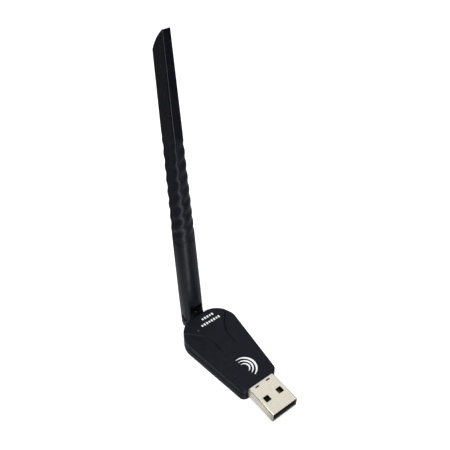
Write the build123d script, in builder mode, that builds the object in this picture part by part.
"""USB Wi-Fi adapter: a tapered plastic case with a USB-A plug at its narrow end and a long
antenna at its arched end, which swivels about the case's long axis and folds on a hinge pin.

Millimetres. The origin is the middle of the plug where it leaves the case. +Y runs from the plug
towards the antenna, +X is the case's width, +Z is up from the underside.
"""
from build123d import *

import math
import os

# USB-A plug
PLUG_WIDTH = 12.0
PLUG_HEIGHT = 4.5
PLUG_WALL = 0.3
PLUG_REACH = 13.9
PLUG_INSIDE = 3.6
PLUG_GAP = 0.06
PLUG_CORNER = 0.5
WINDOW_SIDE = 2.5
WINDOW_SPACING = 6.2
WINDOW_FROM_TIP = 6.6
DIMPLE_WIDTH = 1.8
DIMPLE_DEPTH = 0.6
DIMPLE_SPACING = 5.2
DIMPLE_FROM_TIP = 12.8
TONGUE_HEIGHT = 1.9
TONGUE_SETBACK = 0.2
CONTACT_WIDTH = 1.0
CONTACT_THICKNESS = 0.2
CONTACT_X = (-3.5, -1.0, 1.0, 3.5)
CONTACT_STARTS = (1.2, 2.2, 2.2, 1.2)
CONTACT_TAIL = 1.4
CONTACT_TAIL_DROP_Y = 0.9
INSULATOR_GAP = 0.05
REAR_BLOCK_REACH = 2.6

# Case
FRONT_HALF_WIDTH = 8.6
SHOULDER_HALF_WIDTH = 12.1
SHOULDER_Y = 31.0
ARCH_Y = 40.2
ARCH_FLAT_HALF = 4.3
ARCH_BEND_X = 9.95
ARCH_BEND_Y = 37.0
FRONT_CORNER = 2.6
SMALLEST_CORNER = 0.6
BEND_INSET = (0.75, 0.65)
UNDERSIDE_Z = -4.35
PARTING_Z = 0.35
TOP_FRONT_Z = 2.85
TOP_REAR_Z = 3.9
CASE_WALL = 1.2
RAIL_X = 5.4
RAIL_FRONT_Y = 8.0
RAIL_REAR_Y = 25.0
RAIL_WIDTH = 1.2
RAIL_LENGTH = 4.0
FLANGE_WALL = 1.0
FLANGE_WALL_Y = 37.1
FLANGE_WALL_WIDTH = 10.0
LIGHT_X = -5.2
LIGHT_Y = 33.2
LIGHT_RADIUS = 0.32
LIGHT_CLEARANCE = 0.02
LIGHT_SUNK = 0.05
LIGHT_FOOT_HEIGHT = 1.0
LIGHT_ABOVE_LED = 0.2
TOP_ROUND = 0.5
BOTTOM_ROUND = 0.9
LIP_HEIGHT = 0.8
LIP_WALL = 0.5
LIP_GAP = 0.1
OPENING_EXTRA = 1.0
GROOVE_WIDTH = 0.45
GROOVE_DEPTH = 0.35
GROOVE_PATH = ((10.8, 35.3), (7.2, 31.7), (5.1, 28.7), (3.7, 24.5))
GROOVE_END = (4.0, 13.8)

# Hinge
HINGE_Y = 45.1
HINGE_Z = PARTING_Z
TUBE_RADIUS = 4.7
TONGUE_THICKNESS = 5.2
TONGUE_RADIUS = 3.8
SLOT_WIDTH = 5.36
SLOT_TOP = 7.6
PIN_RADIUS = 1.1
PIN_CLEARANCE = 0.04
RIVET_RADIUS = 1.6
RIVET_THICKNESS = 0.35
RECESS_RADIUS = 1.75
RECESS_FLOOR_X = 3.55
TONGUE_GAP = 0.15
NECK_RADIUS = 1.6
NECK_CLEARANCE = 0.05
NECK_START_Y = 36.3
FLANGE_RADIUS = 2.2
FLANGE_Y = 37.7
FLANGE_THICKNESS = 0.9
WASHER_THICKNESS = 0.3
CABLE_BORE = 0.8
CABLE_RADIUS = 0.57
CABLE_BEND = 1.3
CABLE_EXIT_Y = 42.2
CABLE_EXIT_Z = 3.4
CABLE_GAP = 0.3

# Antenna, measured along its own axis from the hinge pin
LEAN_DEGREES = 4.7
BASE_TOP = 41.5
SPIGOT_LENGTH = 6.0
SPIGOT_RADIUS = 3.05
GRIP_TOP = 85.5
ANTENNA_LENGTH = 122.8
BACK_EDGE_TOP = 114.0
TIP_BULGE = (0.3, 119.4)
TIP_MARGIN = 0.3
STRAIGHT_TOP = 12.0
CAVITY_TOP = 110.0
BORE_RADIUS = 1.6
SLEEVE_START = 50.0
SLEEVE_END = 74.0
SLEEVE_RADIUS = 1.7
SLEEVE_WALL = 0.4
ELEMENT_START = 75.0
ELEMENT_END = 108.0
ELEMENT_RADIUS = 0.45
SPACER_RADIUS = 0.85
SPACER_LENGTH = 1.6
SPACER_STARTS = (79.0, 91.0, 103.0)
CABLE_START = 5.4
BASE_TOP_RADIUS = 4.4
COVER_WALL = 0.8
SMALLEST_ROOM_CORNER = 0.4
RIDGE_PITCH = 5.75
RIDGE_COUNT = 7
RIDGE_DEPTH = 0.28
RIDGE_CUTTER = 1.6
RIDGE_SLOPE = 36
# Height along the axis, width across the pin direction, depth in the folding plane, corner
SECTIONS = (
    (BASE_TOP, 8.8, 8.8, 4.38),
    (49.0, 8.2, 8.9, 4.0),
    (GRIP_TOP, 4.1, 8.5, 0.7),
    (ANTENNA_LENGTH, 3.2, 7.2, 0.45),
)

# Circuit board
BOARD_TOP = -0.6
BOARD_THICKNESS = 1.0
BOARD_FRONT_Y = 0.4
BOARD_RIGHT_EDGE = ((5.6, 0.4), (5.6, 3.9), (6.5, 3.9), (9.6, 30.0), (7.6, 34.8))
BOARD_CLEARANCE = 0.05
CABLE_PAD = (3.2, 29.6)

# Board components: where each stands, and its width, length and height
WIFI_CHIP_PLACE = (-0.6, 12.5)
WIFI_CHIP_SIZE = (6.0, 6.0, 0.85)
WIFI_CHIP_DOT = (-3.0, 14.9)
DOT_RADIUS = 0.25
DOT_DEPTH = 0.06
LEAD_THICKNESS = 0.2
PACKAGE_LIFT = 0.1
MEMORY_PLACE = (-4.6, 19.8)
MEMORY_SIZE = (3.0, 3.2, 0.9)
MEMORY_LEAD = (0.6, 0.25)
MEMORY_LEAD_SPACING = (3.6, 0.65)
REGULATOR_PLACE = (4.3, 7.2)
REGULATOR_SIZE = (2.9, 1.6, 1.0)
REGULATOR_LEAD = (0.4, 0.7)
REGULATOR_LEAD_SPACING = (0.95, 2.2)
CRYSTAL_PLACES = ((4.9, 12.6),)
CRYSTAL_SIZE = (2.5, 3.2, 0.7)
INDUCTOR_PLACES = ((4.8, 17.0), (1.2, 23.0))
INDUCTOR_SIZE = (1.6, 2.0, 0.9)
CAPACITOR_PLACES = (
    (-5.0, 8.4),
    (-5.0, 10.2),
    (-5.4, 12.0),
    (-5.4, 14.4),
    (0.8, 18.4),
    (2.6, 20.2),
    (4.6, 22.6),
    (5.4, 25.2),
)
CAPACITOR_SIZE = (0.5, 1.0, 0.5)
RESISTOR_PLACES = (
    (-0.9, 7.6),
    (0.6, 7.6),
    (-2.2, 18.2),
    (-0.7, 18.2),
    (-1.6, 21.4),
    (-5.6, 24.6),
)
RESISTOR_SIZE = (0.5, 1.0, 0.35)
LED_SIZE = (0.8, 1.2, 0.7)

# Solder
CABLE_JOINT_RADIUS = 0.7
CABLE_JOINT_HEIGHT = 0.9
CONTACT_JOINT_LENGTH = 0.9
CONTACT_JOINT_HEIGHT = 0.25
CONTACT_JOINT_TAPER = 20

os.makedirs("parts", exist_ok=True)

lean = math.radians(LEAN_DEGREES)
hinge = Vector(0, HINGE_Y, HINGE_Z)
antenna_axis = Vector(0, math.sin(lean), math.cos(lean))
antenna_base_plane = Plane(origin=hinge, x_dir=(1, 0, 0), z_dir=antenna_axis)
# Side view of the antenna: local x is the depth (away from the plug), local y is its length
antenna_side = Plane(
    origin=hinge, x_dir=(0, math.cos(lean), -math.sin(lean)), z_dir=(1, 0, 0)
)
top_slope = math.atan2(TOP_REAR_Z - TOP_FRONT_Z, ARCH_Y)
top_plane = Plane(
    origin=(0, 0, TOP_FRONT_Z),
    x_dir=(1, 0, 0),
    z_dir=(0, -math.sin(top_slope), math.cos(top_slope)),
)


def finish(part, name):
    """Labels one finished piece and writes it out."""
    part.label = name
    export_step(part, f"parts/{name}.step")


def half_width(y):
    """Half of the case's width at a distance from its front face."""
    share = y / SHOULDER_Y
    return FRONT_HALF_WIDTH + (SHOULDER_HALF_WIDTH - FRONT_HALF_WIDTH) * share


def case_outline(inset):
    """Plan outline of the case, smaller all round by the inset."""
    front = inset
    rear = ARCH_Y - inset
    near = half_width(0) - inset
    wide = SHOULDER_HALF_WIDTH - inset
    corner = max(FRONT_CORNER - inset, SMALLEST_CORNER)
    bend_x = ARCH_BEND_X - inset * BEND_INSET[0]
    bend_y = ARCH_BEND_Y - inset * BEND_INSET[1]
    with BuildSketch() as outline:
        with BuildLine():
            Line((-near + corner, front), (near - corner, front))
            RadiusArc((near - corner, front), (near, front + corner), -corner)
            Line((near, front + corner), (wide, SHOULDER_Y))
            ThreePointArc((wide, SHOULDER_Y), (bend_x, bend_y), (ARCH_FLAT_HALF, rear))
            Line((ARCH_FLAT_HALF, rear), (-ARCH_FLAT_HALF, rear))
            ThreePointArc((-ARCH_FLAT_HALF, rear), (-bend_x, bend_y), (-wide, SHOULDER_Y))
            Line((-wide, SHOULDER_Y), (-near, front + corner))
            RadiusArc((-near, front + corner), (-near + corner, front), -corner)
        make_face()
    return outline.sketch


def groove_band():
    """Closed band of the curved groove on the right half of the top, tapering to nothing."""
    half = GROOVE_WIDTH / 2
    inner = [(x - half, y) for x, y in GROOVE_PATH] + [GROOVE_END]
    outer = [(x + half, y) for x, y in GROOVE_PATH] + [GROOVE_END]
    with BuildSketch() as band:
        with BuildLine():
            Spline(*inner)
            Spline(*outer)
            Line(inner[0], outer[0])
        make_face()
    return band.sketch


# ---------------------------------------------------------------- USB plug shell
tip_y = -PLUG_REACH
plug_length = PLUG_INSIDE + PLUG_REACH

with BuildPart() as plug_shell:
    with BuildSketch(Plane.XZ.offset(-PLUG_INSIDE)):
        RectangleRounded(PLUG_WIDTH, PLUG_HEIGHT, PLUG_CORNER)
        Rectangle(
            PLUG_WIDTH - 2 * PLUG_WALL, PLUG_HEIGHT - 2 * PLUG_WALL, mode=Mode.SUBTRACT
        )
    extrude(amount=plug_length)
    with BuildSketch(Plane.XY.offset(-PLUG_HEIGHT)):
        with Locations((0, tip_y + WINDOW_FROM_TIP)):
            with GridLocations(WINDOW_SPACING, 0, 2, 1):
                Rectangle(WINDOW_SIDE, WINDOW_SIDE)
    extrude(amount=2 * PLUG_HEIGHT, mode=Mode.SUBTRACT)
    with BuildSketch(Plane.XY):
        with Locations((0, tip_y + DIMPLE_FROM_TIP)):
            with GridLocations(DIMPLE_SPACING, 0, 2, 1):
                SlotOverall(DIMPLE_WIDTH, DIMPLE_DEPTH)
    extrude(amount=PLUG_HEIGHT, mode=Mode.SUBTRACT)
finish(plug_shell.part, "plug_shell")

# ---------------------------------------------------------------- Plug insulator and contacts
inner_width = PLUG_WIDTH - 2 * PLUG_WALL - 2 * INSULATOR_GAP
inner_bottom = -PLUG_HEIGHT / 2 + PLUG_WALL
tongue_top = inner_bottom + TONGUE_HEIGHT

with BuildPart() as plug_insulator:
    with BuildSketch(Plane.XY.offset(inner_bottom)):
        with Locations((0, (tip_y + TONGUE_SETBACK + PLUG_INSIDE) / 2)):
            Rectangle(inner_width, plug_length - TONGUE_SETBACK)
    extrude(amount=TONGUE_HEIGHT)
    with BuildSketch(Plane.XY.offset(inner_bottom)):
        with Locations((0, (PLUG_INSIDE - REAR_BLOCK_REACH) / 2)):
            Rectangle(inner_width, PLUG_INSIDE + REAR_BLOCK_REACH)
    extrude(amount=PLUG_HEIGHT - 2 * PLUG_WALL)
    # One channel for each contact, cut right through the rear block
    for contact_x, start in zip(CONTACT_X, CONTACT_STARTS):
        with BuildSketch(Plane.XY.offset(tongue_top - CONTACT_THICKNESS)):
            with Locations((contact_x, (tip_y + start + PLUG_INSIDE) / 2)):
                Rectangle(CONTACT_WIDTH, plug_length - start)
        extrude(amount=CONTACT_THICKNESS, mode=Mode.SUBTRACT)
    # Room behind the tongue for the board's front edge
    with BuildSketch(Plane.XY.offset(BOARD_TOP - BOARD_THICKNESS - BOARD_CLEARANCE)):
        with Locations((0, (BOARD_FRONT_Y - BOARD_CLEARANCE + PLUG_INSIDE) / 2)):
            Rectangle(inner_width, PLUG_INSIDE - BOARD_FRONT_Y + BOARD_CLEARANCE)
    extrude(amount=BOARD_THICKNESS + BOARD_CLEARANCE, mode=Mode.SUBTRACT)
finish(plug_insulator.part, "plug_insulator")

contact_drop_y = PLUG_INSIDE + CONTACT_TAIL_DROP_Y
contact_tail_y = contact_drop_y - CONTACT_THICKNESS + CONTACT_TAIL / 2

with BuildPart() as plug_contacts:
    for contact_x, start in zip(CONTACT_X, CONTACT_STARTS):
        with BuildSketch(Plane.XY.offset(tongue_top - CONTACT_THICKNESS)):
            with Locations((contact_x, (tip_y + start + contact_drop_y) / 2)):
                Rectangle(CONTACT_WIDTH, contact_drop_y - tip_y - start)
        extrude(amount=CONTACT_THICKNESS)
        with BuildSketch(Plane.XY.offset(BOARD_TOP)):
            with Locations((contact_x, contact_drop_y - CONTACT_THICKNESS / 2)):
                Rectangle(CONTACT_WIDTH, CONTACT_THICKNESS)
        extrude(amount=tongue_top - BOARD_TOP)
        with BuildSketch(Plane.XY.offset(BOARD_TOP)):
            with Locations((contact_x, contact_tail_y)):
                Rectangle(CONTACT_WIDTH, CONTACT_TAIL)
        extrude(amount=CONTACT_THICKNESS)
finish(plug_contacts.part, "plug_contacts")

# ---------------------------------------------------------------- Bottom shell
floor_z = UNDERSIDE_Z + CASE_WALL
shell_height = PARTING_Z - UNDERSIDE_Z
step_z = PARTING_Z - LIP_HEIGHT - LIP_GAP
bore_length = ARCH_Y - FLANGE_WALL_Y + FLANGE_WALL + OPENING_EXTRA

with BuildPart() as bottom_shell:
    with BuildSketch(Plane.XY.offset(UNDERSIDE_Z)):
        add(case_outline(0))
    extrude(amount=shell_height)
    fillet(bottom_shell.edges().group_by(Axis.Z)[0], BOTTOM_ROUND)
    with BuildSketch(Plane.XY.offset(floor_z)):
        add(case_outline(CASE_WALL))
    extrude(amount=shell_height, mode=Mode.SUBTRACT)
    # Rails the board rests on
    with BuildSketch(Plane.XY.offset(floor_z)):
        with Locations((0, RAIL_FRONT_Y), (0, RAIL_REAR_Y)):
            with GridLocations(2 * RAIL_X, 0, 2, 1):
                Rectangle(RAIL_WIDTH, RAIL_LENGTH)
    extrude(amount=BOARD_TOP - BOARD_THICKNESS - floor_z)
    # Wall that holds the swivel's flange from the inside
    with BuildSketch(Plane.XY.offset(floor_z)):
        with Locations((0, FLANGE_WALL_Y)):
            Rectangle(FLANGE_WALL_WIDTH, FLANGE_WALL)
    extrude(amount=PARTING_Z - floor_z)
    # Step that the top shell's lip slides into
    with BuildSketch(Plane.XY.offset(step_z)):
        add(case_outline(CASE_WALL - LIP_WALL - LIP_GAP))
        add(case_outline(CASE_WALL), mode=Mode.SUBTRACT)
    extrude(amount=LIP_HEIGHT + LIP_GAP, mode=Mode.SUBTRACT)
    # Plug opening, then half of the swivel's bore
    with BuildSketch(Plane.XZ.offset(-PLUG_INSIDE - PLUG_GAP)):
        RectangleRounded(PLUG_WIDTH + PLUG_GAP, PLUG_HEIGHT + PLUG_GAP, PLUG_CORNER)
    extrude(amount=PLUG_INSIDE + OPENING_EXTRA, mode=Mode.SUBTRACT)
    with BuildSketch(Plane.XZ.offset(-FLANGE_WALL_Y + FLANGE_WALL)):
        with Locations((0, HINGE_Z)):
            Circle(NECK_RADIUS + NECK_CLEARANCE)
    extrude(amount=-bore_length, mode=Mode.SUBTRACT)
finish(bottom_shell.part, "bottom_shell")

# ---------------------------------------------------------------- Top shell
top_height = TOP_REAR_Z + OPENING_EXTRA - PARTING_Z

with BuildPart() as top_room:
    with BuildSketch(Plane.XY.offset(PARTING_Z - LIP_HEIGHT - OPENING_EXTRA)):
        add(case_outline(CASE_WALL))
    extrude(amount=top_height + LIP_HEIGHT + OPENING_EXTRA)
    split(bisect_by=top_plane.offset(-CASE_WALL), keep=Keep.BOTTOM)

with BuildPart() as top_shell:
    with BuildSketch(Plane.XY.offset(PARTING_Z)):
        add(case_outline(0))
    extrude(amount=top_height)
    split(bisect_by=top_plane, keep=Keep.BOTTOM)
    fillet(top_shell.faces().sort_by(Axis.Z)[-1].edges(), TOP_ROUND)
    # Lip that goes inside the bottom shell's step, cut away where the swivel's wall stands
    with BuildSketch(Plane.XY.offset(PARTING_Z - LIP_HEIGHT)):
        add(case_outline(CASE_WALL - LIP_WALL))
    extrude(amount=LIP_HEIGHT)
    add(top_room.part, mode=Mode.SUBTRACT)
    with BuildSketch(Plane.XY.offset(PARTING_Z)):
        with Locations((0, FLANGE_WALL_Y)):
            Rectangle(FLANGE_WALL_WIDTH, FLANGE_WALL)
    extrude(amount=TOP_REAR_Z - CASE_WALL / 2 - PARTING_Z)
    with BuildSketch(Plane.XZ.offset(-PLUG_INSIDE - PLUG_GAP)):
        RectangleRounded(PLUG_WIDTH + PLUG_GAP, PLUG_HEIGHT + PLUG_GAP, PLUG_CORNER)
    extrude(amount=PLUG_INSIDE + OPENING_EXTRA, mode=Mode.SUBTRACT)
    with BuildSketch(Plane.XZ.offset(-FLANGE_WALL_Y + FLANGE_WALL)):
        with Locations((0, HINGE_Z)):
            Circle(NECK_RADIUS + NECK_CLEARANCE)
    extrude(amount=-bore_length, mode=Mode.SUBTRACT)
    # The two curved grooves, mirror images
    with BuildSketch(top_plane):
        add(groove_band())
        mirror(about=Plane.YZ)
    extrude(amount=-GROOVE_DEPTH, mode=Mode.SUBTRACT)
    # Hole for the light guide
    with BuildSketch(Plane.XY):
        with Locations((LIGHT_X, LIGHT_Y)):
            Circle(LIGHT_RADIUS + LIGHT_CLEARANCE)
    extrude(amount=TOP_REAR_Z, mode=Mode.SUBTRACT)
finish(top_shell.part, "top_shell")

# ---------------------------------------------------------------- Light guide over the status light
light_top = TOP_FRONT_Z + math.tan(top_slope) * LIGHT_Y
guide_foot = BOARD_TOP + LED_SIZE[2] + LIGHT_ABOVE_LED
with BuildPart() as light_guide:
    with BuildSketch(Plane.XY.offset(guide_foot)):
        with Locations((LIGHT_X, LIGHT_Y)):
            Circle(LIGHT_RADIUS)
    extrude(amount=light_top - LIGHT_SUNK - guide_foot)
    with BuildSketch(Plane.XY.offset(guide_foot)):
        with Locations((LIGHT_X, LIGHT_Y)):
            Circle(2 * LIGHT_RADIUS)
    extrude(amount=LIGHT_FOOT_HEIGHT)
finish(light_guide.part, "light_guide")

# ---------------------------------------------------------------- Circuit board and its components
board_edge = list(BOARD_RIGHT_EDGE) + [(-x, y) for x, y in reversed(BOARD_RIGHT_EDGE)]

with BuildPart() as circuit_board:
    with BuildSketch(Plane.XY.offset(BOARD_TOP - BOARD_THICKNESS)):
        Polygon(*board_edge, align=None)
    extrude(amount=BOARD_THICKNESS)
finish(circuit_board.part, "circuit_board")


def board_blocks(places, size):
    """One box for each place on top of the board, as separate solids of one piece."""
    with BuildPart() as blocks:
        with BuildSketch(Plane.XY.offset(BOARD_TOP)):
            with Locations(*places):
                Rectangle(size[0], size[1])
        extrude(amount=size[2])
    return blocks


def leaded_package(place, size, lead, spacing, lead_counts):
    """Raised package body with its rows of flat leads, as one piece."""
    with BuildPart() as package:
        with BuildSketch(Plane.XY.offset(BOARD_TOP + PACKAGE_LIFT)):
            with Locations(place):
                Rectangle(size[0], size[1])
        extrude(amount=size[2])
        with BuildSketch(Plane.XY.offset(BOARD_TOP)):
            with Locations(place):
                with GridLocations(*spacing, *lead_counts):
                    Rectangle(*lead)
        extrude(amount=LEAD_THICKNESS)
    return package


with BuildPart() as wifi_chip:
    add(board_blocks([WIFI_CHIP_PLACE], WIFI_CHIP_SIZE).part)
    with BuildSketch(Plane.XY.offset(BOARD_TOP + WIFI_CHIP_SIZE[2])):
        with Locations(WIFI_CHIP_DOT):
            Circle(DOT_RADIUS)
    extrude(amount=-DOT_DEPTH, mode=Mode.SUBTRACT)
finish(wifi_chip.part, "wifi_chip")

memory_chip = leaded_package(
    MEMORY_PLACE, MEMORY_SIZE, MEMORY_LEAD, MEMORY_LEAD_SPACING, (2, 4)
)
finish(memory_chip.part, "memory_chip")
voltage_regulator = leaded_package(
    REGULATOR_PLACE, REGULATOR_SIZE, REGULATOR_LEAD, REGULATOR_LEAD_SPACING, (3, 2)
)
finish(voltage_regulator.part, "voltage_regulator")
crystal = board_blocks(CRYSTAL_PLACES, CRYSTAL_SIZE)
finish(crystal.part, "crystal")
inductors = board_blocks(INDUCTOR_PLACES, INDUCTOR_SIZE)
finish(inductors.part, "inductors")
capacitors = board_blocks(CAPACITOR_PLACES, CAPACITOR_SIZE)
finish(capacitors.part, "capacitors")
resistors = board_blocks(RESISTOR_PLACES, RESISTOR_SIZE)
finish(resistors.part, "resistors")
status_led = board_blocks([(LIGHT_X, LIGHT_Y)], LED_SIZE)
finish(status_led.part, "status_led")

# ---------------------------------------------------------------- Swivel with its tongue
# Side views in the case's middle plane: local x is Y, local y is Z
middle_plane = Plane(origin=(0, 0, 0), x_dir=(0, 1, 0), z_dir=(1, 0, 0))
tongue_start = ARCH_Y + TONGUE_GAP

with BuildPart() as swivel:
    with BuildSketch(middle_plane):
        with Locations((HINGE_Y, HINGE_Z)):
            Circle(TONGUE_RADIUS)
        with Locations(((tongue_start + HINGE_Y) / 2, HINGE_Z)):
            Rectangle(HINGE_Y - tongue_start, 2 * TONGUE_RADIUS)
    extrude(amount=TONGUE_THICKNESS / 2, both=True)
    with BuildSketch(Plane.XZ.offset(-NECK_START_Y)):
        with Locations((0, HINGE_Z)):
            Circle(NECK_RADIUS)
    extrude(amount=-(tongue_start - NECK_START_Y))
    with BuildSketch(Plane.XZ.offset(-FLANGE_Y)):
        with Locations((0, HINGE_Z)):
            Circle(FLANGE_RADIUS)
    extrude(amount=-FLANGE_THICKNESS)
    # Bore for the cable, which leaves upwards between the neck and the pin
    with BuildSketch(Plane.XZ.offset(-NECK_START_Y)):
        with Locations((0, HINGE_Z)):
            Circle(CABLE_BORE)
    extrude(amount=-(CABLE_EXIT_Y - NECK_START_Y), mode=Mode.SUBTRACT)
    with BuildSketch(Plane.XY.offset(HINGE_Z - CABLE_BORE)):
        with Locations((0, CABLE_EXIT_Y)):
            Rectangle(2 * CABLE_BORE, 2 * CABLE_BORE)
    extrude(amount=2 * TONGUE_RADIUS, mode=Mode.SUBTRACT)
    with BuildSketch(middle_plane):
        with Locations((HINGE_Y, HINGE_Z)):
            Circle(PIN_RADIUS + PIN_CLEARANCE)
    extrude(amount=TONGUE_THICKNESS, both=True, mode=Mode.SUBTRACT)
finish(swivel.part, "swivel")

with BuildPart() as friction_washer:
    with BuildSketch(Plane.XZ.offset(-FLANGE_Y - FLANGE_THICKNESS)):
        with Locations((0, HINGE_Z)):
            Circle(FLANGE_RADIUS)
            Circle(NECK_RADIUS + NECK_CLEARANCE, mode=Mode.SUBTRACT)
    extrude(amount=-WASHER_THICKNESS)
finish(friction_washer.part, "friction_washer")

# ---------------------------------------------------------------- Hinge pin, riveted at both ends
with BuildPart() as hinge_pin:
    with BuildSketch(middle_plane):
        with Locations((HINGE_Y, HINGE_Z)):
            Circle(PIN_RADIUS)
    extrude(amount=RECESS_FLOOR_X, both=True)
    for side in (-1, 1):
        with BuildSketch(middle_plane.offset(side * RECESS_FLOOR_X)):
            with Locations((HINGE_Y, HINGE_Z)):
                Circle(RIVET_RADIUS)
        extrude(amount=side * RIVET_THICKNESS)
finish(hinge_pin.part, "hinge_pin")

# ---------------------------------------------------------------- Antenna base: tube with a fork
with BuildPart() as antenna_base:
    with BuildSketch(antenna_base_plane.offset(-TUBE_RADIUS)):
        Circle(TUBE_RADIUS)
    extrude(amount=TUBE_RADIUS + STRAIGHT_TOP)
    with BuildSketch(antenna_base_plane.offset(STRAIGHT_TOP)):
        Circle(TUBE_RADIUS)
    with BuildSketch(antenna_base_plane.offset(BASE_TOP)):
        Circle(BASE_TOP_RADIUS)
    loft()
    with BuildSketch(antenna_base_plane.offset(BASE_TOP)):
        Circle(SPIGOT_RADIUS)
    extrude(amount=SPIGOT_LENGTH)
    # Round the two arms about the pin
    with BuildSketch(antenna_side):
        Circle(TUBE_RADIUS)
        with Locations((0, BASE_TOP / 2)):
            Rectangle(3 * TUBE_RADIUS, BASE_TOP)
        with Locations((0, BASE_TOP)):
            Rectangle(3 * TUBE_RADIUS, 2 * SPIGOT_LENGTH)
    extrude(amount=2 * TUBE_RADIUS, both=True, mode=Mode.INTERSECT)
    with BuildSketch(antenna_base_plane.offset(-2 * TUBE_RADIUS)):
        Rectangle(SLOT_WIDTH, 3 * TUBE_RADIUS)
    extrude(amount=2 * TUBE_RADIUS + SLOT_TOP, mode=Mode.SUBTRACT)
    with BuildSketch(antenna_base_plane):
        Circle(BORE_RADIUS)
    extrude(amount=BASE_TOP + SPIGOT_LENGTH, mode=Mode.SUBTRACT)
    with BuildSketch(antenna_side):
        Circle(PIN_RADIUS)
    extrude(amount=2 * TUBE_RADIUS, both=True, mode=Mode.SUBTRACT)
    for side in (-1, 1):
        with BuildSketch(antenna_side.offset(side * RECESS_FLOOR_X)):
            Circle(RECESS_RADIUS)
        extrude(amount=side * TUBE_RADIUS, mode=Mode.SUBTRACT)
finish(antenna_base.part, "antenna_base")


# ---------------------------------------------------------------- Antenna cover: grip and blade
def cover_width(height):
    """Half of the cover's width across the pin direction at a height along the antenna."""
    for low, high in zip(SECTIONS, SECTIONS[1:]):
        if height <= high[0]:
            share = (height - low[0]) / (high[0] - low[0])
            return (low[1] + (high[1] - low[1]) * share) / 2
    return SECTIONS[-1][1] / 2


with BuildPart() as cover_room:
    for low, high in zip(SECTIONS, SECTIONS[1:]):
        for height, width, depth, corner in (low, high):
            with BuildSketch(antenna_base_plane.offset(height)):
                RectangleRounded(
                    width - 2 * COVER_WALL,
                    depth - 2 * COVER_WALL,
                    max(corner - COVER_WALL, SMALLEST_ROOM_CORNER),
                )
        loft(ruled=True)
    with BuildSketch(antenna_side):
        with Locations((0, CAVITY_TOP / 2)):
            Rectangle(3 * TUBE_RADIUS, CAVITY_TOP)
    extrude(amount=2 * TUBE_RADIUS, both=True, mode=Mode.INTERSECT)

with BuildPart() as antenna_cover:
    for low, high in zip(SECTIONS, SECTIONS[1:]):
        for height, width, depth, corner in (low, high):
            with BuildSketch(antenna_base_plane.offset(height)):
                RectangleRounded(width, depth, corner)
        loft(ruled=True)
    # Sword tip: tall at the edge facing the plug, slanting down to the back edge
    tip_half = SECTIONS[-1][2] / 2
    tip_end = tip_half + TIP_MARGIN
    back = 2 * TUBE_RADIUS
    with BuildSketch(antenna_side):
        with BuildLine():
            Line((-back, 0), (-back, ANTENNA_LENGTH))
            Line((-back, ANTENNA_LENGTH), (-tip_half, ANTENNA_LENGTH))
            ThreePointArc(
                (-tip_half, ANTENNA_LENGTH), TIP_BULGE, (tip_end, BACK_EDGE_TOP)
            )
            Line((tip_end, BACK_EDGE_TOP), (back, BACK_EDGE_TOP))
            Line((back, BACK_EDGE_TOP), (back, 0))
            Line((back, 0), (-back, 0))
        make_face()
    extrude(amount=2 * TUBE_RADIUS, both=True, mode=Mode.INTERSECT)
    add(cover_room.part, mode=Mode.SUBTRACT)
    # Slanted finger grooves down both wide sides of the grip
    for side in (-1, 1):
        for count in range(RIDGE_COUNT):
            height = GRIP_TOP - (count + 0.5) * RIDGE_PITCH
            distance = side * (cover_width(height) + RIDGE_CUTTER - RIDGE_DEPTH)
            slope = math.radians(side * RIDGE_SLOPE)
            along = (
                antenna_side.x_dir * math.cos(slope) + antenna_axis * math.sin(slope)
            )
            start = hinge + antenna_axis * height + Vector(distance, 0, 0)
            with BuildSketch(Plane(origin=start, x_dir=(1, 0, 0), z_dir=along)):
                Circle(RIDGE_CUTTER)
            extrude(amount=2 * TUBE_RADIUS, both=True, mode=Mode.SUBTRACT)
finish(antenna_cover.part, "antenna_cover")

# ---------------------------------------------------------------- Inside the antenna
with BuildPart() as antenna_sleeve:
    with BuildSketch(antenna_base_plane.offset(SLEEVE_START)):
        Circle(SLEEVE_RADIUS)
        Circle(SLEEVE_RADIUS - SLEEVE_WALL, mode=Mode.SUBTRACT)
    extrude(amount=SLEEVE_END - SLEEVE_START)
finish(antenna_sleeve.part, "antenna_sleeve")

with BuildPart() as antenna_element:
    with BuildSketch(antenna_base_plane.offset(ELEMENT_START)):
        Circle(ELEMENT_RADIUS)
    extrude(amount=ELEMENT_END - ELEMENT_START)
finish(antenna_element.part, "antenna_element")

with BuildPart() as antenna_spacers:
    for spacer_start in SPACER_STARTS:
        with BuildSketch(antenna_base_plane.offset(spacer_start)):
            Circle(SPACER_RADIUS)
            Circle(ELEMENT_RADIUS, mode=Mode.SUBTRACT)
        extrude(amount=SPACER_LENGTH)
finish(antenna_spacers.part, "antenna_spacers")

with BuildPart() as antenna_cable:
    with BuildSketch(antenna_base_plane.offset(CABLE_START)):
        Circle(CABLE_RADIUS)
    extrude(amount=ELEMENT_START - CABLE_START)
finish(antenna_cable.part, "antenna_cable")

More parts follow.
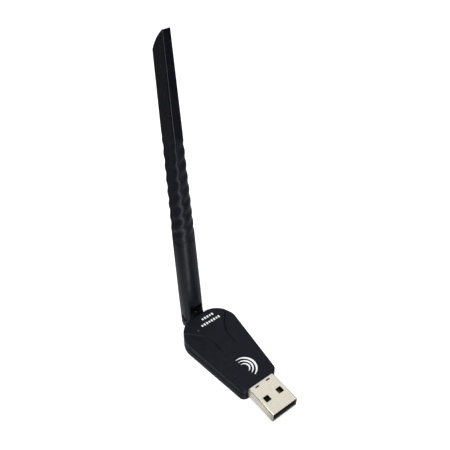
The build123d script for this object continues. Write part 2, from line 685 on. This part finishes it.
# ---------------------------------------------------------------- Cable inside the case and the swivel
cable_end = Vector(0, NECK_START_Y - CABLE_GAP, HINGE_Z)
cable_pad = Vector(*CABLE_PAD, BOARD_TOP + CABLE_RADIUS + BOARD_CLEARANCE)
with BuildPart() as board_cable:
    with BuildLine() as board_cable_path:
        Spline(cable_pad, cable_end, tangents=((0, 1, 0), (0, 1, 0)))
    with BuildSketch(Plane(origin=cable_pad, z_dir=(0, 1, 0))):
        Circle(CABLE_RADIUS)
    sweep(path=board_cable_path.wires()[0])
finish(board_cable.part, "board_cable")

with BuildPart() as hinge_cable:
    with BuildLine() as hinge_cable_path:
        Line((0, NECK_START_Y, HINGE_Z), (0, CABLE_EXIT_Y - CABLE_BEND, HINGE_Z))
        TangentArc(
            (0, CABLE_EXIT_Y - CABLE_BEND, HINGE_Z),
            (0, CABLE_EXIT_Y, HINGE_Z + CABLE_BEND),
            tangent=(0, 1, 0),
        )
        Line((0, CABLE_EXIT_Y, HINGE_Z + CABLE_BEND), (0, CABLE_EXIT_Y, CABLE_EXIT_Z))
    with BuildSketch(Plane.XZ.offset(-NECK_START_Y)):
        with Locations((0, HINGE_Z)):
            Circle(CABLE_RADIUS)
    sweep(path=hinge_cable_path.wires()[0])
finish(hinge_cable.part, "hinge_cable")

# ---------------------------------------------------------------- Solder
with BuildPart() as solder_joints:
    with BuildSketch(Plane.XY.offset(BOARD_TOP)):
        with Locations((cable_pad.X, cable_pad.Y - CABLE_JOINT_RADIUS - BOARD_CLEARANCE)):
            Circle(CABLE_JOINT_RADIUS)
    extrude(amount=CABLE_JOINT_HEIGHT)
    for contact_x in CONTACT_X:
        with BuildSketch(Plane.XY.offset(BOARD_TOP + CONTACT_THICKNESS)):
            with Locations((contact_x, contact_tail_y + CONTACT_THICKNESS)):
                Rectangle(CONTACT_WIDTH - BOARD_CLEARANCE, CONTACT_JOINT_LENGTH)
        extrude(amount=CONTACT_JOINT_HEIGHT, taper=CONTACT_JOINT_TAPER)
finish(solder_joints.part, "solder_joints")
